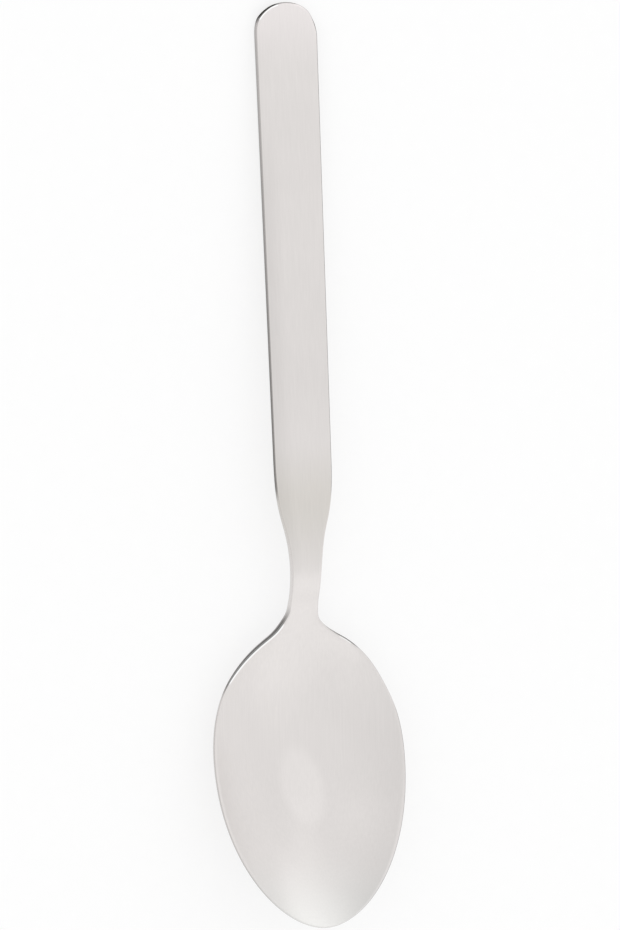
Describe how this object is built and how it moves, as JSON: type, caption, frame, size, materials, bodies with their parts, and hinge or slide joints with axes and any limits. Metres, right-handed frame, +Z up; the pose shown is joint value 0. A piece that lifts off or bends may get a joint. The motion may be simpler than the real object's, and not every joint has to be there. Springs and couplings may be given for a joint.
{
  "type": "dessert spoon",
  "caption": "Pressed steel dessert spoon with a flat straight handle rounded at its end, a narrow bent neck and an egg-shaped bowl, for eating from a dish.",
  "frame": {"origin": "bottom centre of the bounding box, on the surface that the spoon lies on, midway between the bowl's tip and the handle's end", "axes": "+Y from the bowl's tip to the handle's end, +Z up out of the bowl, +X to the right seen from above with the handle's end at the top"},
  "size_m": [0.0386, 0.18, 0.016],
  "materials": {
    "steel": "satin brushed stainless steel"
  },
  "bodies": {
    "root": {"handle": "steel", "neck": "steel", "bowl": "steel"}
  },
  "joints": []
}
